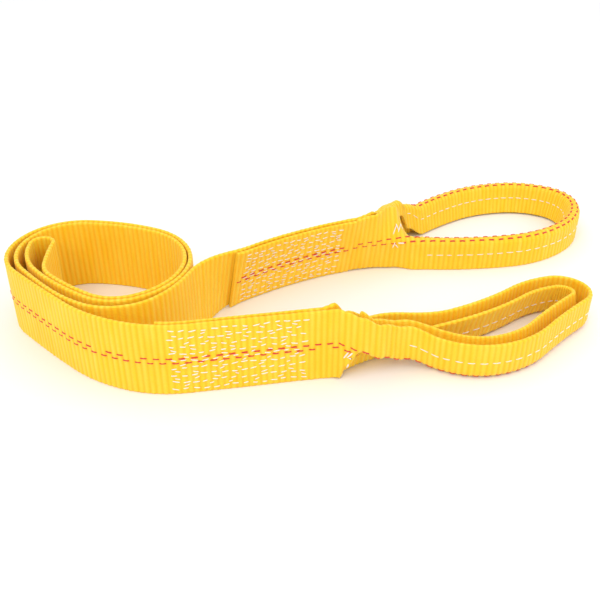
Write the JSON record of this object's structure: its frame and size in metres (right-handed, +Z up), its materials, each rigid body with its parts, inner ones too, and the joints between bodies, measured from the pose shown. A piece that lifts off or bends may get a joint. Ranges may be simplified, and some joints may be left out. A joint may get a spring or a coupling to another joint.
{
  "type": "webbing sling",
  "caption": "Flat webbing lifting sling, coiled from its doubled middle, each end turned back and sewn into an eye that is folded to half width",
  "frame": {"origin": "on the floor, under the middle of the whole sling's box", "axes": "+X from the coil towards the eyes, +Y from the front leg towards the back leg, +Z up"},
  "size_m": [0.4225, 0.2556, 0.0511],
  "materials": {
    "webbing": "ribbed woven polyester",
    "thread": "twisted sewing thread",
    "tracer": "woven-in tracer yarn"
  },
  "bodies": {
    "coil": {"coil_front_run": "webbing", "coil_back_run": "webbing", "coil_mid_fold": "webbing", "coil_tracers": "tracer"},
    "front_leg": {"front_leg_webbing": "webbing", "front_lap_webbing": "webbing", "front_splice_stitching": "thread", "front_leg_tracers": "tracer"},
    "front_eye": {"front_eye_webbing": "webbing", "front_eye_seam": "thread", "front_throat_tack": "thread", "front_eye_tracers": "tracer"},
    "back_leg": {"back_leg_webbing": "webbing", "back_lap_webbing": "webbing", "back_splice_stitching": "thread", "back_leg_tracers": "tracer"},
    "back_eye": {"back_eye_webbing": "webbing", "back_eye_seam": "thread", "back_throat_tack": "thread", "back_eye_tracers": "tracer"}
  },
  "joints": [
    {"name": "front_leg_flex", "type": "hinge", "parent": "coil", "child": "front_leg", "pos_m": [-0.12483, -0.12061, 0.025], "axis": [0, 0, 1], "range_deg": [-20, 2]},
    {"name": "front_eye_flex", "type": "hinge", "parent": "front_leg", "child": "front_eye", "pos_m": [-0.00273, -0.1093, 0.025], "axis": [0, 0, 1], "range_deg": [-14, 3]},
    {"name": "back_leg_flex", "type": "hinge", "parent": "coil", "child": "back_leg", "pos_m": [-0.08385, -0.06152, 0.025], "axis": [0, 0, 1], "range_deg": [-2, 15]},
    {"name": "back_eye_flex", "type": "hinge", "parent": "back_leg", "child": "back_eye", "pos_m": [0.02177, 0.01373, 0.025], "axis": [0, 0, 1], "range_deg": [-3, 12]}
  ]
}
